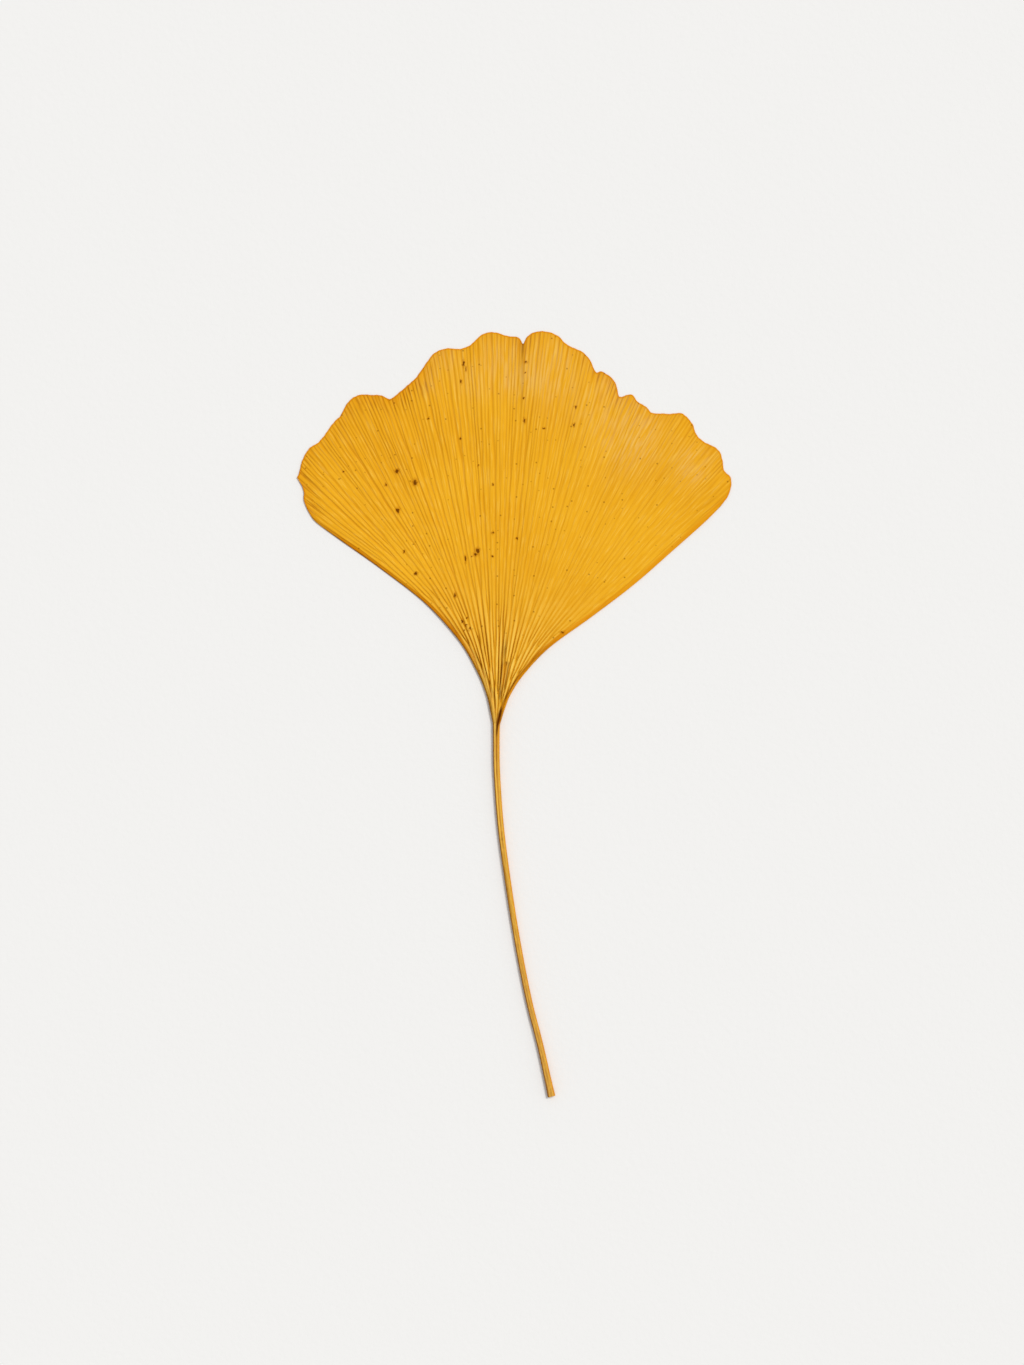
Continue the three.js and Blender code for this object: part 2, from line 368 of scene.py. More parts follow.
class Skin:
    """Every point of the leaf's two skins, from its column and row in the grid."""

    def __init__(self, column, station, upper, shape):
        self.shape = shape
        self.column = column
        self.upper = upper
        self.on_blade = station >= 0
        self.station = station
        self.place_blade()
        self.place_stalk()
        self.measure()
        self.raise_skins()

    def place_blade(self):
        """Where each point is on the blade, how far from its two edges, and the ribs there."""
        nominal = BLADE_BASE + np.maximum(self.station, 0.0)
        last = BANDS[-1][0]
        part = np.clip((nominal - EVEN_ROWS_END) / (last - EVEN_ROWS_END), 0.0, 1.0)
        stretched = lerp(EVEN_ROWS_END, reach(self.column), part)
        self.radius = np.where(nominal < EVEN_ROWS_END, nominal, stretched)
        self.angle = OUTLINE_RAYS.angle(self.column, self.radius)
        self.x = self.radius * np.sin(self.angle)
        self.y = self.radius * np.cos(self.angle)
        left, right = OUTLINE_RAYS.limits(self.radius)
        self.from_left = self.radius * (self.angle - left)
        self.from_right = self.radius * (right - self.angle)
        self.across = VEIN_RAYS.across(self.radius, self.angle)
        self.octave = VEIN_RAYS.octave(self.across, self.radius)
        opening = np.sqrt(smoothstep(self.radius, BLADE_BASE, RIB_END))
        self.left_rib = lerp(LEFT_RIB, OUTER_RIB, opening)
        self.right_rib = lerp(RIGHT_RIB, OUTER_RIB, opening)
        self.rib_height = lerp(RIB_HEIGHT, self.shape.thickness, opening)

    def place_stalk(self):
        """On the stalk the columns run along it, and its two strands take the place of the ribs."""
        path = curve_through(STALK, STALK_SAMPLES)
        steps = np.hypot(*np.diff(path[:, :2], axis=0).T)
        length = np.concatenate([[0.0], np.cumsum(steps)]) - steps.sum()
        x, y, width, height = (np.interp(self.station, length, path[:, k]) for k in range(4))
        ahead = np.gradient(path[:, :2], axis=0)
        ahead /= np.hypot(ahead[:, 0], ahead[:, 1])[:, None]
        ahead_x, ahead_y = (np.interp(self.station, length, ahead[:, k]) for k in range(2))
        left, right = OUTLINE_RAYS.limits(BLADE_BASE)
        part = (OUTLINE_RAYS.angle(self.column, BLADE_BASE) - left) / (right - left)
        offset = (part - 0.5) * width
        self.part = part
        strand = ramp(-self.station, 2.0, 45.0, 0.52, 0.66) * width
        opened = smoothstep(self.station, -1.5, 1.5)
        blade = self.on_blade
        self.x = np.where(blade, self.x, x + ahead_y * offset)
        self.y = np.where(blade, self.y, y - ahead_x * offset)
        self.from_left = np.where(blade, self.from_left, part * width)
        self.from_right = np.where(blade, self.from_right, (1 - part) * width)
        self.rib_height = np.where(blade, self.rib_height, height)
        self.octave = np.where(blade, self.octave, self.octave + self.station / 20.0)
        self.left_rib = lerp(strand, self.left_rib, opened)
        self.right_rib = lerp(strand, self.right_rib, opened)
        self.under_rounding = lerp(width, np.minimum(self.left_rib, self.right_rib), opened) / 2

    def measure(self):
        """Each point's distance from the margin and the nearest vein, and how strong that vein is."""
        self.from_margin = np.full_like(self.x, FAR_INLAND)
        near = self.on_blade & (self.radius > MARGIN_ZONE)
        self.from_margin[near] = np.minimum(distance_to(MARGIN, self.x[near], self.y[near]), FAR_INLAND)
        self.across = self.across + wander(self.across, self.octave)
        self.vein = vein_distance(self.across, self.octave)
        self.vigour = vigour(self.across, self.octave)
        # Painted light: the veins are made fainter towards the right, in depth and in colour, standing in
        # for the key light, which runs along the veins there and shades them less.
        self.vigour *= ramp(np.degrees(self.angle), -6.0, 24.0, 1.0, 0.55)

    def raise_skins(self):
        """The heights of the skins: ribs along the two edges, the veins between them, and gentle lifts."""
        over_rib = np.minimum(self.from_left / self.left_rib, self.from_right / self.right_rib) * 2
        ribs = np.sqrt(1.0 - np.clip(over_rib - 1.0, 0.0, 1.0) ** 2)
        ribs *= self.rib_height * (1.0 - 0.3 * smoothstep(self.radius, RIB_END, 44.0))
        thinning = 1.0 - 0.45 * fade(self.from_margin, 0.0, 3.0)
        between = self.shape.thickness * thinning + 0.30 * fade(self.radius, 5.0, 24.0)
        between = ramp(self.station, -5.0, 0.5, 0.72 * self.rib_height, between)
        blend = 0.05  # rounds the hollow where a rib meets the tissue beside it
        body = 0.5 * (ribs + between + np.sqrt((ribs - between) ** 2 + blend**2))
        body = np.minimum(body, np.maximum(self.rib_height, between))

        edge = np.clip(over_rib, 0.0, 1.0)
        margin = np.clip(self.from_margin / MARGIN_ROUNDING, 0.0, 1.0)
        rounded = np.sqrt(1.0 - (1.0 - np.minimum(edge, margin)) ** 2)
        from_edge = np.minimum(self.from_left, self.from_right)
        under = np.clip(np.minimum(from_edge / self.under_rounding, margin), 0.0, 1.0)
        under = np.sqrt(1.0 - (1.0 - under) ** 2)
        waist = self.rib_height / 2 * thinning
        half_wall = 0.02
        top = waist + half_wall + (body - waist - half_wall) * rounded
        bottom = (waist - half_wall) * (1.0 - under)

        grooves = self.grooves()
        top -= grooves
        bottom += 0.25 * grooves
        self.z = np.where(self.upper, top - 0.10 * self.crease(), bottom) + self.lift()

    def grooves(self):
        """The depth of the grooves along the veins, which end short of the ribs and the margin."""
        depth = ramp(self.radius, 10.0, 34.0, self.shape.pleat_depth, self.shape.vein_depth)
        depth = np.where(self.on_blade, depth * smoothstep(self.station, 0.5, 3.0), 0.0)
        inside = smoothstep(self.from_left / self.left_rib, 0.7, 1.4)
        inside *= smoothstep(self.from_right / self.right_rib, 0.7, 1.4)
        inside *= smoothstep(self.from_margin, 0.1, 0.6)
        return depth * fade(self.vein, 0.0, GROOVE_WIDTH) * inside * self.vigour

    def crease(self):
        """The fold that runs in from the notch at the top of the blade."""
        degrees = np.degrees(self.angle)
        line = 3.75 + 0.5 * smoothstep(70.0 - self.radius, 0.0, 14.0)
        away = np.radians(degrees - line) * self.radius
        cleft = ridge(away, 0.0, 0.24) * smoothstep(self.radius, 65.5, 69.5)
        trace = 0.45 * ridge(away, 0.0, 0.30) * smoothstep(self.radius, 54.0, 66.0)
        return np.where(self.on_blade, np.maximum(cleft, trace), 0.0)

    def lift(self):
        """How far the leaf stands off the surface where it isn't pressed quite flat."""
        x, y = self.x, self.y
        lift = 0.14 * bump_at(x, y, -9.0, 20.0, 3.5, 9.0)
        lift += 0.20 * bump_at(x, y, -33.0, 44.0, 5.0, 6.0)
        lift += 0.10 * bump_at(x, y, -22.0, 56.0, 5.0, 4.0)
        lift += 0.10 * bump_at(x, y, 39.0, 42.0, 4.0, 6.0)
        waves = 0.5 + 0.5 * np.sin(self.column * 58.0 + 1.5 * np.sin(self.radius / 9.0))
        inland = smoothstep(self.radius, 18.0, 45.0) * smoothstep(self.from_margin, 0.0, 5.0)
        lift += 0.14 * waves * inland * self.on_blade
        return lift * self.shape.lift


def strongest(*marks):
    """The strongest of several marks at each point."""
    return np.maximum.reduce(marks)


def scar_place(skin):
    """How far a point is to the right of the old scar's middle, and half the scar's width there."""
    up = skin.y - 13.4
    return skin.x - 1.40 - 0.14 * up, 0.50 + 0.05 * up


def scar_inside(skin):
    """The inside of the old scar, from 0 to 1."""
    sideways, half_width = scar_place(skin)
    inside = fade(np.abs(sideways), half_width - 0.15, half_width + 0.05)
    return inside * smoothstep(skin.y, 10.5, 12.5) * fade(skin.y, 14.8, 15.2)


def scar_stains(skin):
    """The old scar: a narrow, slanting box with two streaks above it and one below."""
    sideways, half_width = scar_place(skin)
    sides = ridge(np.abs(sideways), half_width, 0.13)
    sides *= 0.95 * smoothstep(skin.y, 9.8, 11.0) * fade(skin.y, 14.9, 15.4)
    top = 0.4 * ridge(skin.y, 15.0, 0.16) * fade(np.abs(sideways), half_width - 0.1, half_width)
    streaks = skin.x - 1.45 - 0.10 * (skin.y - 17.0)
    above = strongest(ridge(streaks, 0.06, 0.16), 0.75 * ridge(streaks, -0.45, 0.15))
    above *= ridge(skin.y, 17.3, 2.0)
    below = 0.9 * ridge(sideways, -0.20, 0.22) * ridge(skin.y, 9.8, 1.3)
    return strongest(sides, top, 0.15 * scar_inside(skin), above, below)


def wedge_stain_and_shade(skin):
    """The dark wedge where the stalk meets the right edge: partly brown, partly painted shade in the hollow
    of the funnel beside the right rib.
    """
    middle = np.interp(skin.y, (1.5, 4.0, 5.2, 6.3, 8.1), (0.04, 0.15, 0.39, 0.62, 1.08))
    width = np.interp(skin.y, (2.0, 4.0, 5.2, 6.3, 7.6), (0.12, 0.19, 0.37, 0.34, 0.15))
    wedge = 1.3 * ridge(skin.x, middle, width)
    return wedge * smoothstep(skin.y, 1.5, 4.0) * fade(skin.y, 6.6, 8.4)


def edge_stains_and_shade(skin):
    """Dark marks along the blade's two edges and beside their ribs: the line along the left edge is brown
    and partly painted shade on the side away from the key light, and the lines beside the ribs are painted
    shade in the hollows where the ribs meet the tissue.
    """
    # Partly brown, partly painted shade: the dark line along the left edge, the side away from the key
    # light.
    left = strongest(0.85 * fade(skin.from_left, 0.08, 0.34), 0.34 * fade(skin.from_left, 0.46, 0.76))
    left *= ramp(skin.radius, 44.0, 54.0, 1.0, 0.25)
    # Painted shade in the hollows beside the inner sides of the left and right ribs.
    shade_beside_left = ridge(skin.from_left, np.interp(skin.radius, (12.0, 20.0), (1.15, 1.05)), 0.20)
    shade_beside_left *= ramp(skin.radius, 12.0, 30.0, 0.45, 0.0) * smoothstep(skin.radius, 6.0, 9.0)
    shade_beside_right = ridge(skin.from_right, 1.22 * skin.right_rib, 0.14)
    shade_beside_right *= ramp(skin.radius, 14.0, 24.0, 0.68, 0.0)
    knuckle = 0.26 * fade(skin.from_right, 0.74, 0.98) * ridge(skin.radius, 18.0, 3.5)
    return strongest(left, shade_beside_left, shade_beside_right, knuckle) * skin.on_blade


def stalk_stains_and_shade(skin):
    """The stalk's dark groove, its left flank, which is brown and partly painted shade on the side away
    from the key light, a bruise and a few dots.
    """
    groove = ridge(skin.part, 0.47, 0.09) * ramp(skin.station, -14.0, -2.0, 0.25, 0.70)
    # Painted shade with some brown on the left flank, the side away from the key light.
    flank = 0.85 * fade(skin.part, 0.08, 0.22)
    bruise = 0.7 * ridge(skin.part, 0.26, 0.12) * ridge(skin.station, -28.0, 6.0)
    dots = 0.4 + 0.4 * np.sin(5.3 * skin.station)
    dots *= ridge(skin.part, 0.50, 0.12) * ridge(skin.station, -19.5, 2.2)
    return strongest(groove, flank, bruise, dots) * ~skin.on_blade


def stains_and_shade(skin):
    """Brown marks and painted shade, from 0 to 1: along the edges, at the blade's foot, along the fold and
    on the stalk. The painted shade lies beside the ribs, in the hollow at the blade's foot, in the fold's
    cleft and on the left sides of the blade and the stalk, away from the key light.
    """
    # Painted shade in the cleft below the notch, with a fainter brown line along the fold below it.
    fold = 0.75 * skin.crease()
    return strongest(fold, edge_stains_and_shade(skin), wedge_stain_and_shade(skin), scar_stains(skin), stalk_stains_and_shade(skin))


def flushes(skin):
    """Deep orange areas, from 0 to 1: along the two edges, in the scar and on the stalk's right side."""
    inner = np.interp(skin.radius, (11.0, 16.0), (0.48, 0.66))
    right = fade(skin.from_right, inner, inner + 0.28)
    right *= np.interp(skin.radius, (12.0, 22.0, 30.0, 46.0), (0.9, 0.9, 0.7, 0.6))
    left = fade(skin.from_left, 0.48, 0.80)
    left *= smoothstep(skin.radius, 12.0, 22.0) * ramp(skin.radius, 43.0, 50.0, 1.0, 0.3)
    strand = smoothstep(skin.part, 0.5, 0.6) * ramp(skin.station, -10.0, 1.0, 0.10, 0.55)
    flank = smoothstep(skin.part, 0.78, 0.90) * ramp(skin.station, -24.0, -10.0, 0.8, 0.4)
    blade = strongest(left, right, 0.45 * scar_inside(skin))
    return np.where(skin.on_blade, blade, strongest(strand, flank))


def straws(skin):
    """Straw-coloured areas, from 0 to 1: the left rib and the strands of the stalk."""
    rib = ridge(skin.from_left, np.interp(skin.radius, (7.0, 12.0, 20.0), (0.50, 0.66, 0.62)), 0.22)
    rib *= ramp(skin.radius, 14.0, 26.0, 0.65, 0.0)
    left = ridge(skin.part, 0.31, 0.11) * ramp(skin.station, -26.0, -14.0, 0.30, 0.95)
    right = ridge(skin.part, 0.66, 0.13) * (0.45 + 0.50 * ridge(skin.station, -14.0, 9.0))
    centre = ridge(skin.part, 0.56, 0.14) * ridge(skin.station, -28.0, 8.0)
    return np.where(skin.on_blade, rib, strongest(left, right, centre))


def browning(skin):
    """How much the tissue beside the margin has browned, from 0 to 1: most of all at the upper left."""
    degrees = np.degrees(skin.angle)
    weight = 0.20 + 0.80 * ridge(degrees, -13.5, 4.0) + 0.45 * ridge(degrees, -21.0, 4.0)
    weight += 0.45 * ridge(degrees, 17.0, 4.0) + 0.40 * ridge(degrees, 3.8, 2.0)
    weight += 0.35 * ridge(degrees, -36.0, 4.0)
    return np.where(skin.on_blade, np.minimum(weight, 1.0), 0.0)


def row_stations():
    """The rows' distances from the base of the blade, negative on the stalk, and each band's first row."""
    path = curve_through(STALK, STALK_SAMPLES)[:, :2]
    length = np.hypot(*np.diff(path, axis=0).T).sum()
    stations = list(np.linspace(-length, 0.0, round(length / STALK_ROW) + 1))
    starts = []
    start = BLADE_BASE
    for end, spacing in BANDS:
        starts.append(len(stations) - 1)
        count = round((end - start) / spacing)
        stations += [start + (end - start) * (k + 1) / count - BLADE_BASE for k in range(count)]
        start = end
    whole = BANDS[-1][0] - EVEN_ROWS_END
    stations.pop()
    stations += [BANDS[-1][0] - BLADE_BASE - whole * short for short in RIM_ROWS]
    return np.array(stations), starts


def grid_slab(stations, starts):
    """A flat grid, 1 by 1, with finer columns from each start row on, closed into a slab 1 thick."""
    rows = len(stations) - 1
    bpy.ops.mesh.primitive_grid_add(x_subdivisions=COLUMNS, y_subdivisions=rows, size=1)
    slab = bpy.context.active_object
    bpy.ops.object.mode_set(mode="EDIT")
    bpy.ops.mesh.select_mode(type="EDGE")
    for start in starts:
        bpy.ops.mesh.select_all(action="DESELECT")
        line = (start - 0.5) / rows - 0.5
        edit = bmesh.from_edit_mesh(slab.data)
        for edge in edit.edges:
            first, second = edge.verts
            edge.select_set(first.co.y > line and abs(first.co.y - second.co.y) < 0.1 / rows)
        bmesh.update_edit_mesh(slab.data)
        bpy.ops.mesh.subdivide(number_cuts=1)
    bpy.ops.object.mode_set(mode="OBJECT")
    solidify = slab.modifiers.new("lower_skin", "SOLIDIFY")
    solidify.thickness = 1.0
    solidify.offset = -1.0
    bpy.ops.object.modifier_apply(modifier=solidify.name)
    return slab


def add_map(mesh, name, u, v):
    """A UV map whose coordinates are the same at every corner that shares a point."""
    corner = np.empty(len(mesh.loops), dtype=np.int32)
    mesh.loops.foreach_get("vertex_index", corner)
    layer = mesh.uv_layers.new(name=name)
    layer.uv.foreach_set("vector", np.column_stack([u, v])[corner].astype(np.float32).ravel())


def add_patterns(mesh, skin, length):
    """The maps and attributes that the leaf's material reads, and the map for baking."""
    while mesh.uv_layers:
        mesh.uv_layers.remove(mesh.uv_layers[0])
    # The upper skin is in the left half of the map for baking, and the lower one in the right.
    spread = 0.5 / (1.03 * length)
    middle = np.where(skin.upper, 0.26, 0.74)
    add_map(mesh, "OFBake", middle + skin.x * spread, 0.46 + (skin.y - 5.0) * spread * 1.9)
    add_map(mesh, "vein_map", skin.across, (skin.octave - MAP_LOWEST) / MAP_OCTAVES)
    add_map(mesh, "stalk_map", skin.part, np.minimum(skin.station, 0.0) / STALK_MAP_LENGTH + 1.0)
    pale = sum(bump_at(skin.x, skin.y, x, y, radius) for x, y, radius in PALE_PATCHES)
    for name, values in (
        ("from_margin", skin.from_margin),
        ("vigour", skin.vigour),
        ("stain_and_shade", stains_and_shade(skin)),
        ("flush", flushes(skin)),
        ("straw", straws(skin)),
        ("pale", np.minimum(1.5 * pale, 1.0)),
        ("browned", browning(skin)),
        ("upper", skin.upper),
        ("blade", smoothstep(skin.station, -1.0, 3.0)),
        ("radius", np.where(skin.on_blade, skin.radius, BLADE_BASE + skin.station)),
    ):
        attribute = mesh.attributes.new(name, "FLOAT", "POINT")
        attribute.data.foreach_set("value", np.asarray(values, dtype=np.float32))


def model_leaf(shape):
    """The whole leaf, blade and stalk, as one closed mesh in its place."""
    stations, starts = row_stations()
    leaf = grid_slab(stations, starts)
    leaf.name = PIECE
    mesh = leaf.data
    mesh.name = PIECE
    place = np.empty(len(mesh.vertices) * 3, dtype=np.float32)
    mesh.vertices.foreach_get("co", place)
    place = place.reshape(-1, 3).astype(float)
    row = (place[:, 1] + 0.5) * (len(stations) - 1)
    station = np.interp(row, np.arange(len(stations)), stations)
    skin = Skin(np.clip(place[:, 0] + 0.5, 0.0, 1.0), station, place[:, 2] > -0.5, shape)

    origin_x, origin_y, scale = fan_point()
    place = np.column_stack([origin_x + skin.x * scale, origin_y + skin.y * scale, skin.z * scale])
    mesh.vertices.foreach_set("co", place.astype(np.float32).ravel())
    mesh.update()

    add_patterns(mesh, skin, stations[-1] - stations[0])
    bpy.ops.object.shade_smooth_by_angle(angle=math.radians(50))
    return leaf


class Wiring:
    """Adds shader nodes to a material. Most calls add a node and return what comes out of it."""

    def __init__(self, material):
        self.tree = material.node_tree
        self.shader = self.tree.nodes["Principled BSDF"]

    def feed(self, node, inputs):
        """Set a node's inputs, each to a value or to what comes out of another node."""
        for name, value in inputs.items():
            socket = node.inputs[name]
            if isinstance(value, bpy.types.NodeSocket):
                self.tree.links.new(value, socket)
            else:
                socket.default_value = value

    def add(self, kind, inputs, output=0, **settings):
        node = self.tree.nodes.new(kind)
        for name, value in settings.items():
            setattr(node, name, value)
        self.feed(node, inputs)
        return node.outputs[output]

    def math(self, operation, first, second=0.0):
        return self.add("ShaderNodeMath", {0: first, 1: second}, operation=operation)

    def vector_math(self, operation, first, second):
        return self.add("ShaderNodeVectorMath", {0: first, 1: second}, operation=operation)

    def chain(self, operation, values):
        result, *others = values
        for value in others:
            result = self.math(operation, result, value)
        return result

    def times(self, *factors):
        return self.chain("MULTIPLY", factors)

    def plus(self, *terms):
        return self.chain("ADD", terms)

    def ramp(self, value, low, high, at_low=0.0, at_high=1.0):
        """A smooth step from at_low to at_high as the value goes from low to high."""
        inputs = {"Value": value, "From Min": low, "From Max": high, "To Min": at_low, "To Max": at_high}
        return self.add("ShaderNodeMapRange", inputs, interpolation_type="SMOOTHSTEP")

    def mix(self, factor, first, second):
        """The first colour where the factor is 0, and the second where it is 1."""
        colours = (c if isinstance(c, bpy.types.NodeSocket) else (*c, 1.0) for c in (first, second))
        return self.add("ShaderNodeMix", dict(zip((0, 6, 7), (factor, *colours))), 2, data_type="RGBA")

    def noise(self, vector, scale, detail, roughness):
        inputs = {"Vector": vector, "Scale": scale, "Detail": detail, "Roughness": roughness}
        return self.add("ShaderNodeTexNoise", inputs)

    def attribute(self, name):
        return self.add("ShaderNodeAttribute", {}, output=2, attribute_name=name)

    def vector(self, x, y, z=0.0):
        return self.add("ShaderNodeCombineXYZ", {"X": x, "Y": y, "Z": z})

    def place(self):
        """The place of a point on the object."""
        return self.add("ShaderNodeTexCoord", {}, output=3)

    def map_place(self, name):
        """The two coordinates of a point on a UV map."""
        place = self.add("ShaderNodeUVMap", {}, uv_map=name)
        return tuple(self.add("ShaderNodeSeparateXYZ", {0: place}, output=k) for k in range(2))

    def emboss(self, height, depth):
        """Give the shader relief, where a height of 1 stands for the depth in metres."""
        bump = self.add("ShaderNodeBump", {"Height": height, "Distance": depth, "Strength": 1.0})
        self.feed(self.shader, {"Normal": bump})


class LeafFinish(Wiring):
    """The leaf's finish. Its colour is laid on in layers, from the bare tissue to the last specks."""

    def __init__(self, material, colours):
        super().__init__(material)
        self.colours = colours
        self.across, height = self.map_place("vein_map")
        self.octave = self.plus(self.times(height, float(MAP_OCTAVES)), float(MAP_LOWEST))
        self.blade = self.attribute("blade")
        self.from_margin = self.attribute("from_margin")
        self.vigour = self.attribute("vigour")
        self.near_base = self.ramp(self.attribute("radius"), 11.0, 34.0, 1.0, 0.0)
        self.fine = self.threads(420.0, 7.0, 0.0, 3.0, 0.6)
        self.coarse = self.threads(48.0, 2.0, 3.0, 3.0, 0.7)
        self.flecks = self.threads(260.0, 9.0, 5.0, 2.0, 0.6)
        self.vein = self.vein_distance()
        line_end = self.ramp(self.near_base, 0.0, 1.0, 0.21, 0.14)
        self.line = self.ramp(self.vein, 0.02, line_end, 1.0, 0.0)

    def threads(self, scale_across, scale_along, seed, detail, roughness):
        """Noise that is drawn out along the veins."""
        across = self.times(self.across, scale_across)
        along = self.times(self.octave, scale_along)
        return self.noise(self.vector(across, along, seed), 1.0, detail, roughness)

    def vein_distance(self):
        """The same pattern as the function vein_distance, in shader nodes."""
        band = self.math("FLOOR", self.octave)
        within = self.math("SUBTRACT", self.octave, band)
        cells = self.times(self.across, float(FIRST_CELLS), self.math("POWER", 2.0, band))
        scatter = self.plus(self.times(self.math("FLOOR", cells), FORK_STEP), self.times(band, OCTAVE_STEP))
        start = self.times(self.math("FRACT", scatter), FORK_SPREAD)
        parting = self.ramp(within, start, self.plus(start, FORK_LENGTH), 0.0, FORK_PARTING)
        centre = self.math("SUBTRACT", self.math("FRACT", cells), 0.5)
        apart = self.math("SUBTRACT", self.math("ABSOLUTE", centre), parting)
        width = self.times(self.math("POWER", 2.0, within), VEIN_RAYS.cell_width())
        return self.times(self.math("ABSOLUTE", apart), width)

    def lay(self, colour, *factors):
        """Lay a colour over the tissue, as strongly as the product of the factors."""
        self.tissue = self.mix(self.times(*factors), self.tissue, colour)

    def lay_tissue(self):
        """Golden tissue with ochre clouds and tan areas, under fine threads."""
        colours = self.colours
        clouds = self.noise(self.place(), 55.0, 3.0, 0.55)
        self.tissue = self.mix(self.ramp(clouds, 0.35, 0.68), colours.golden, colours.ochre)
        self.lay(colours.ochre, self.ramp(self.from_margin, 0.5, 9.0, 0.55, 0.0))
        pale = self.times(self.attribute("pale"), self.ramp(self.flecks, 0.39, 0.64, 0.05, 0.80))
        self.lay(colours.tan, pale, self.ramp(clouds, 0.40, 0.60, 0.6, 1.0))
        self.lay(colours.straw, self.ramp(self.fine, 0.50, 0.72, 0.0, 0.50))
        self.lay(colours.amber, self.ramp(self.fine, 0.28, 0.50, 0.40, 0.0))

    def lay_veins(self):
        """Dark lines that are stronger near the base, with a painted highlight on the crests of the tissue
        between them there.
        """
        colours = self.colours
        self.lay(colours.umber, self.near_base, 0.10)
        # Painted highlight: straw laid on the crests of the tissue between the veins near the base.
        crest_highlight = self.times(self.ramp(self.vein, 0.12, 0.32), self.near_base)
        self.lay(colours.straw, crest_highlight, self.ramp(self.coarse, 0.40, 0.56, 0.45, 1.0))
        dark = self.ramp(self.coarse, 0.38, 0.50, 0.42, 0.0)
        self.lay(colours.umber, self.near_base, dark, self.ramp(self.vigour, 0.2, 0.7, 0.5, 1.0))
        self.lay(colours.vein, self.line, self.vigour, self.ramp(self.near_base, 0.0, 1.0, 0.44, 0.9))
        self.lay(colours.brown, self.line, self.near_base, self.ramp(self.vigour, 0.45, 0.80), 0.65)

    def lay_stalk(self):
        """The stalk with its fibres, which are drier low down."""
        colours = self.colours
        part, along = self.map_place("stalk_map")
        place = self.vector(self.times(part, 8.0), self.times(along, 36.0))
        self.fibres = self.noise(place, 1.0, 3.0, 0.65)
        stalk = self.mix(self.ramp(self.fibres, 0.40, 0.60), colours.umber, colours.stalk)
        low = self.ramp(along, 0.42, 0.64, 1.0, 0.0)
        dry = self.ramp(self.fibres, 0.38, 0.60, 0.9, 0.15)
        stalk = self.mix(self.times(low, dry), stalk, colours.bark)
        self.tissue = self.mix(self.blade, stalk, self.tissue)

    def lay_margin(self):
        """Dry streaks and vein ends beside the margin, and its thin rim."""
        colours = self.colours
        browned = self.attribute("browned")
        dried = self.times(self.ramp(self.from_margin, 0.2, 4.5, 1.0, 0.0), browned)
        streaks = self.threads(300.0, 6.0, 7.0, 2.0, 0.5)
        self.lay(colours.rust, self.ramp(streaks, 0.50, 0.64), dried, 0.55)
        ends = self.ramp(self.vein, 0.04, 0.20, 0.8, 0.0)
        self.lay(colours.brown, ends, dried, self.ramp(self.flecks, 0.42, 0.60))
        rim = self.ramp(self.from_margin, 0.08, 0.40, 0.75, 0.0)
        self.lay(colours.flush, rim, self.blade)
        self.lay(colours.rust, rim, browned, 0.6)
        self.lay(colours.flush, self.ramp(self.from_margin, 0.0, 2.5, 0.40, 0.0), browned)

    def lay_areas(self):
        """The straw and orange areas, and the underside, which is duller and darker than the upper face:
        partly its own duller colour, partly painted shade under the leaf.
        """
        colours = self.colours
        self.lay(colours.straw, self.attribute("straw"))
        self.lay(colours.flush, self.attribute("flush"), self.ramp(self.coarse, 0.38, 0.56, 0.6, 1.0))
        # Painted shade under the leaf: the underside is darkened, partly for its own duller colour and
        # partly to cut the orange light that it throws onto the surface.
        self.lay(colours.umber, self.math("SUBTRACT", 1.0, self.attribute("upper")), 0.5)

    def lay_marks(self):
        """Stains and painted shade, blemishes and specks."""
        colours = self.colours
        # Brown stains together with painted shade in hollows and on the sides away from the key light.
        self.lay(colours.stain_and_shade, self.attribute("stain_and_shade"), self.ramp(self.fine, 0.3, 0.6, 1.0, 0.8))
        blemish = self.blemish_distance()
        self.lay(colours.vein, self.ramp(blemish, 0.9, 2.2, 0.45, 0.0))
        larger = self.times(self.specks(330.0, 0.065, 0.28), 0.5)
        smaller = self.times(self.specks(700.0, 0.11, 0.10), 0.35)
        blemishes = self.ramp(blemish, 0.5, 1.15, 0.9, 0.0)
        marks = self.math("MAXIMUM", blemishes, self.math("MAXIMUM", larger, smaller))
        self.marks = self.times(marks, self.blade)
        self.lay(colours.spot, self.marks)

    def blemish_distance(self):
        """The distance to the nearest blemish, where 1 is the blemish's uneven outline."""
        place = self.place()
        origin_x, origin_y, scale = fan_point()
        wobble = self.add("ShaderNodeTexNoise", {"Vector": place, "Scale": 2000.0, "Detail": 3.0}, output=1)
        centred = self.vector_math("SUBTRACT", wobble, (0.5, 0.5, 0.5))
        scaled = self.add("ShaderNodeVectorMath", {0: centred, "Scale": 0.8 * MM}, operation="SCALE")
        warped = self.vector_math("ADD", place, scaled)
        nearest = 9.0
        for x, y, radius, stretch in BLEMISHES:
            centre = (origin_x + x * scale, origin_y + y * scale, 0.0)
            size = radius * MM
            away = self.vector_math("SUBTRACT", warped, centre)
            away = self.vector_math("MULTIPLY", away, (1 / size, 1 / (size * stretch), 0.0))
            length = self.add("ShaderNodeVectorMath", {0: away}, output=1, operation="LENGTH")
            nearest = self.math("MINIMUM", nearest, length)
        return nearest

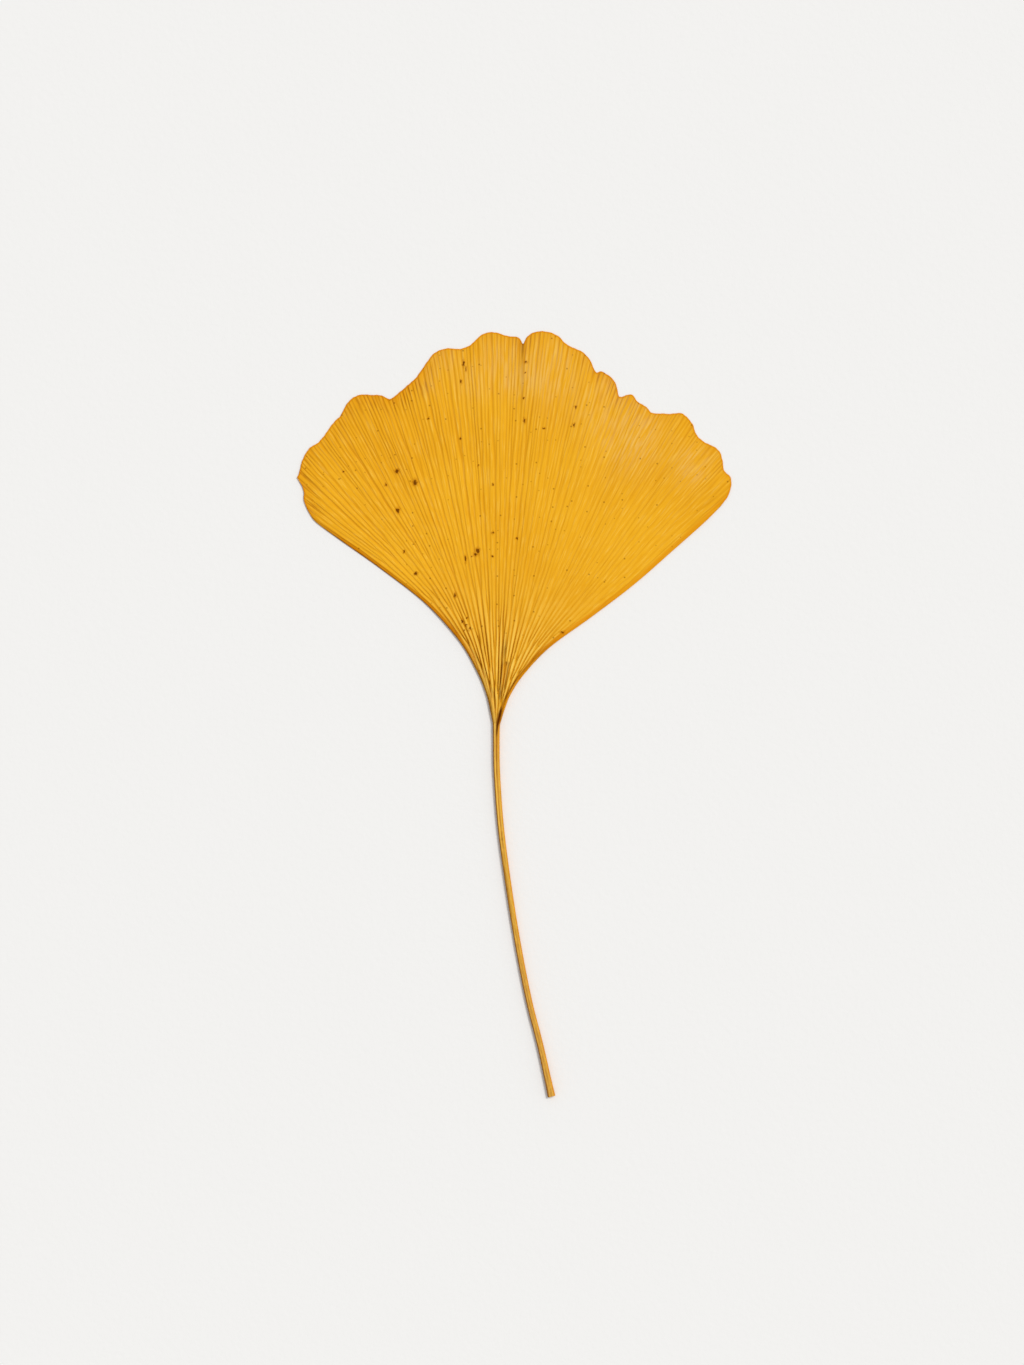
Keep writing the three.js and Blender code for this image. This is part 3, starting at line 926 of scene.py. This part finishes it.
    def specks(self, scale, size, share):
        """Tiny specks in a share of the cells of a Voronoi pattern."""
        cells = {"Vector": self.place(), "Scale": scale}
        distance = self.add("ShaderNodeTexVoronoi", cells, voronoi_dimensions="2D")
        colour = self.add("ShaderNodeTexVoronoi", cells, output=1, voronoi_dimensions="2D")
        chance = self.add("ShaderNodeSeparateColor", {"Color": colour})
        present = self.math("LESS_THAN", chance, share)
        return self.times(self.ramp(distance, size * 0.5, size, 1.0, 0.0), present)

    def relief(self):
        """Fine relief in millimetres: crisp veins, threads, the stalk's fibres and cross wrinkles."""
        veins = self.times(self.line, self.vigour, self.ramp(self.near_base, 0.0, 1.0, -0.07, -0.12))
        coarse = self.times(self.coarse, self.near_base, 0.12)
        blade = self.plus(veins, self.times(self.fine, 0.030), coarse)
        fibres = self.times(self.fibres, self.math("SUBTRACT", 1.0, self.blade), 0.16)
        wrinkles = self.times(self.noise(self.place(), 2600.0, 2.0, 0.6), 0.016)
        return self.plus(self.times(blade, self.blade), fibres, wrinkles, self.times(self.marks, -0.02))


def leaf_material(colours):
    material = bpy.data.materials.new("dried_ginkgo")
    material.use_nodes = True
    finish = LeafFinish(material, colours)
    finish.lay_tissue()
    finish.lay_veins()
    finish.lay_stalk()
    finish.lay_margin()
    finish.lay_areas()
    finish.lay_marks()
    inputs = {
        "Base Color": finish.tissue,
        "Roughness": finish.ramp(finish.fine, 0.3, 0.7, 0.55, 0.72),
        "Specular IOR Level": 0.1,
        "Specular Tint": (*colours.sheen, 1.0),
    }
    finish.feed(finish.shader, inputs)
    finish.emboss(finish.relief(), MM)
    return material


def surface_material(colour):
    """The surface under the leaf, with a trace of fibres."""
    material = bpy.data.materials.new("pale_surface")
    material.use_nodes = True
    wiring = Wiring(material)
    inputs = {"Base Color": (*colour, 1.0), "Roughness": 0.9, "Specular IOR Level": 0.1}
    wiring.feed(wiring.shader, inputs)
    wiring.emboss(wiring.noise(wiring.place(), 900.0, 3.0, 0.6), 0.05 * MM)
    return material


def number_property(name, description, default, **settings):
    """A number that a user can change."""
    return FloatProperty(name=name, description=description, default=default, **settings)


def colour_property(name, description, *steps):
    """A colour that a user can change. Its default is given in steps from 0 to 255."""
    default = linear(*steps)
    return FloatVectorProperty(name=name, description=description, subtype="COLOR", size=3, default=default)


class LeafShape(bpy.types.PropertyGroup):
    """Sizes of the leaf that are not set by the CAD model."""

    thickness: number_property("Blade thickness", "Thickness of the blade in millimetres", 0.28, min=0.1)
    vein_depth: number_property("Vein depth", "Depth of the outer veins in millimetres", 0.07, min=0)
    pleat_depth: number_property("Pleat depth", "Depth of the inner veins in millimetres", 0.34, min=0)
    lift: number_property("Lift", "How far the leaf stands off the surface", 1.0, min=0, subtype="FACTOR")


class LeafColours(bpy.types.PropertyGroup):
    """Colours of the leaf."""

    golden: colour_property("Golden", "Main colour of the blade", 243, 178, 36)
    ochre: colour_property("Ochre", "Slightly duller areas of the blade", 237, 169, 31)
    tan: colour_property("Tan", "Pale mottles near the margin", 240, 188, 96)
    # Straw also paints the highlight on the crests between the veins near the base.
    straw: colour_property("Straw", "Lightest threads and strands", 254, 206, 92)
    amber: colour_property("Amber", "Deepest threads along the veins", 226, 150, 12)
    # Umber also paints the shade on the underside.
    umber: colour_property("Umber", "Duller tissue near the base and in the stalk", 206, 144, 40)
    stalk: colour_property("Stalk", "Main colour of the stalk", 238, 178, 70)
    bark: colour_property("Bark", "Drier fibres low on the stalk", 196, 136, 66)
    vein: colour_property("Vein", "Veins", 180, 98, 0)
    brown: colour_property("Brown", "Deep veins near the base", 140, 76, 2)
    flush: colour_property("Flush", "Deep orange of the right rib and the margin", 226, 142, 8)
    rust: colour_property("Rust", "Dry streaks beside the margin", 176, 92, 22)
    sheen: colour_property("Sheen", "Tint of the soft shine", 255, 196, 80)
    # The stain colour also paints the shade beside the ribs, at the blade's foot, in the fold's cleft and
    # on the left sides away from the key light.
    stain_and_shade: colour_property("Stain", "Stains near the base and along the fold", 112, 53, 4)
    spot: colour_property("Spot", "Blemishes and specks", 104, 47, 2)


class StageSettings(bpy.types.PropertyGroup):
    """The surface, the lights and the camera."""

    surface: colour_property("Surface", "Colour of the surface under the leaf", 243, 242, 240)
    sun: number_property("Key light", "Strength of the key light", 1.70, min=0)
    fill: number_property("Fill light", "Strength of the light from all round", 0.53, min=0)
    sun_height: number_property(
        "Key height", "Height of the key light over the surface", math.radians(60), subtype="ANGLE"
    )
    sun_turn: number_property(
        "Key turn", "Turn of the key light from +Y towards +X", math.radians(50), subtype="ANGLE"
    )
    lens: number_property("Lens", "Focal length in millimetres", 85.0, min=1)


class LEAF_OT_add_leaf(bpy.types.Operator):
    """Model the leaf and give it its finish"""

    bl_idname = "leaf.add_leaf"
    bl_label = "Add Leaf"

    def execute(self, context):
        bpy.ops.object.select_all(action="DESELECT")
        leaf = model_leaf(context.scene.leaf_shape)
        leaf.data.materials.clear()
        leaf.data.materials.append(leaf_material(context.scene.leaf_colours))
        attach(leaf, "root")
        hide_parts(NODE)
        return {"FINISHED"}


def add_surface(colour):
    """The large pale surface just under the leaf."""
    bpy.ops.object.select_all(action="DESELECT")
    bpy.ops.mesh.primitive_plane_add(size=SURFACE_SIZE, location=(0.0, 0.0, -SURFACE_GAP * MM))
    surface = bpy.context.active_object
    surface.name = "pale_surface"
    bpy.ops.object.transform_apply(location=True)
    surface.data.materials.append(surface_material(colour))


def add_key_light(stage):
    """A soft sun from the upper right."""
    bpy.ops.object.light_add(type="SUN", location=(0.3, 0.3, 0.5))
    sun = bpy.context.active_object
    sun.name = "key_light"
    sun.data.energy = stage.sun
    sun.data.angle = math.radians(16)
    flat = math.cos(stage.sun_height)
    east, north = flat * math.sin(stage.sun_turn), flat * math.cos(stage.sun_turn)
    towards = Vector((east, north, math.sin(stage.sun_height)))
    sun.rotation_euler = towards.to_track_quat("Z", "Y").to_euler()


def add_fill_light(strength):
    """White light from all round."""
    world = bpy.data.worlds.new("soft_room")
    world.use_nodes = True
    background = world.node_tree.nodes["Background"]
    background.inputs["Color"].default_value = (1.0, 1.0, 1.0, 1.0)
    background.inputs["Strength"].default_value = strength
    bpy.context.scene.world = world


def add_camera(lens):
    """A camera that looks straight down on the leaf."""
    low, high = (Vector(corner) for corner in CAD_BOX)
    middle = (low + high) / 2
    view_height = VIEW_HEIGHT * (high.y - low.y)
    camera = bpy.data.cameras.new("camera")
    camera.lens = lens
    camera.clip_end = FAR_CLIP
    distance = view_height / 2 / (camera.sensor_width / 2 / lens)
    viewer = bpy.data.objects.new("camera", camera)
    viewer.location = (middle.x + VIEW_RIGHT * MM, middle.y + VIEW_UP * MM, distance)
    bpy.context.scene.collection.objects.link(viewer)
    bpy.context.scene.camera = viewer


class LEAF_OT_set_stage(bpy.types.Operator):
    """Add the pale surface, the lights and the camera that looks straight down"""

    bl_idname = "leaf.set_stage"
    bl_label = "Set Stage"

    def execute(self, context):
        stage = context.scene.leaf_stage
        add_surface(stage.surface)
        add_key_light(stage)
        add_fill_light(stage.fill)
        add_camera(stage.lens)
        context.scene.view_settings.view_transform = "Standard"
        return {"FINISHED"}


class LEAF_PT_panel(bpy.types.Panel):
    """The leaf's settings in the sidebar"""

    bl_label = "Pressed Ginkgo Leaf"
    bl_space_type = "VIEW_3D"
    bl_region_type = "UI"
    bl_category = "Leaf"

    def draw(self, context):
        layout = self.layout
        for operator in (LEAF_OT_add_leaf, LEAF_OT_set_stage):
            layout.operator(operator.bl_idname)
        for group in (context.scene.leaf_shape, context.scene.leaf_colours, context.scene.leaf_stage):
            box = layout.box()
            for name in group.__annotations__:
                box.prop(group, name)


CLASSES = (LeafShape, LeafColours, StageSettings, LEAF_OT_add_leaf, LEAF_OT_set_stage, LEAF_PT_panel)


def register():
    for cls in CLASSES:
        bpy.utils.register_class(cls)
    bpy.types.Scene.leaf_shape = PointerProperty(type=LeafShape)
    bpy.types.Scene.leaf_colours = PointerProperty(type=LeafColours)
    bpy.types.Scene.leaf_stage = PointerProperty(type=StageSettings)


def unregister():
    del bpy.types.Scene.leaf_stage
    del bpy.types.Scene.leaf_colours
    del bpy.types.Scene.leaf_shape
    for cls in reversed(CLASSES):
        bpy.utils.unregister_class(cls)


def main():
    register()
    bpy.ops.leaf.set_stage()
    bpy.ops.leaf.add_leaf()


if __name__ == "__main__":
    main()
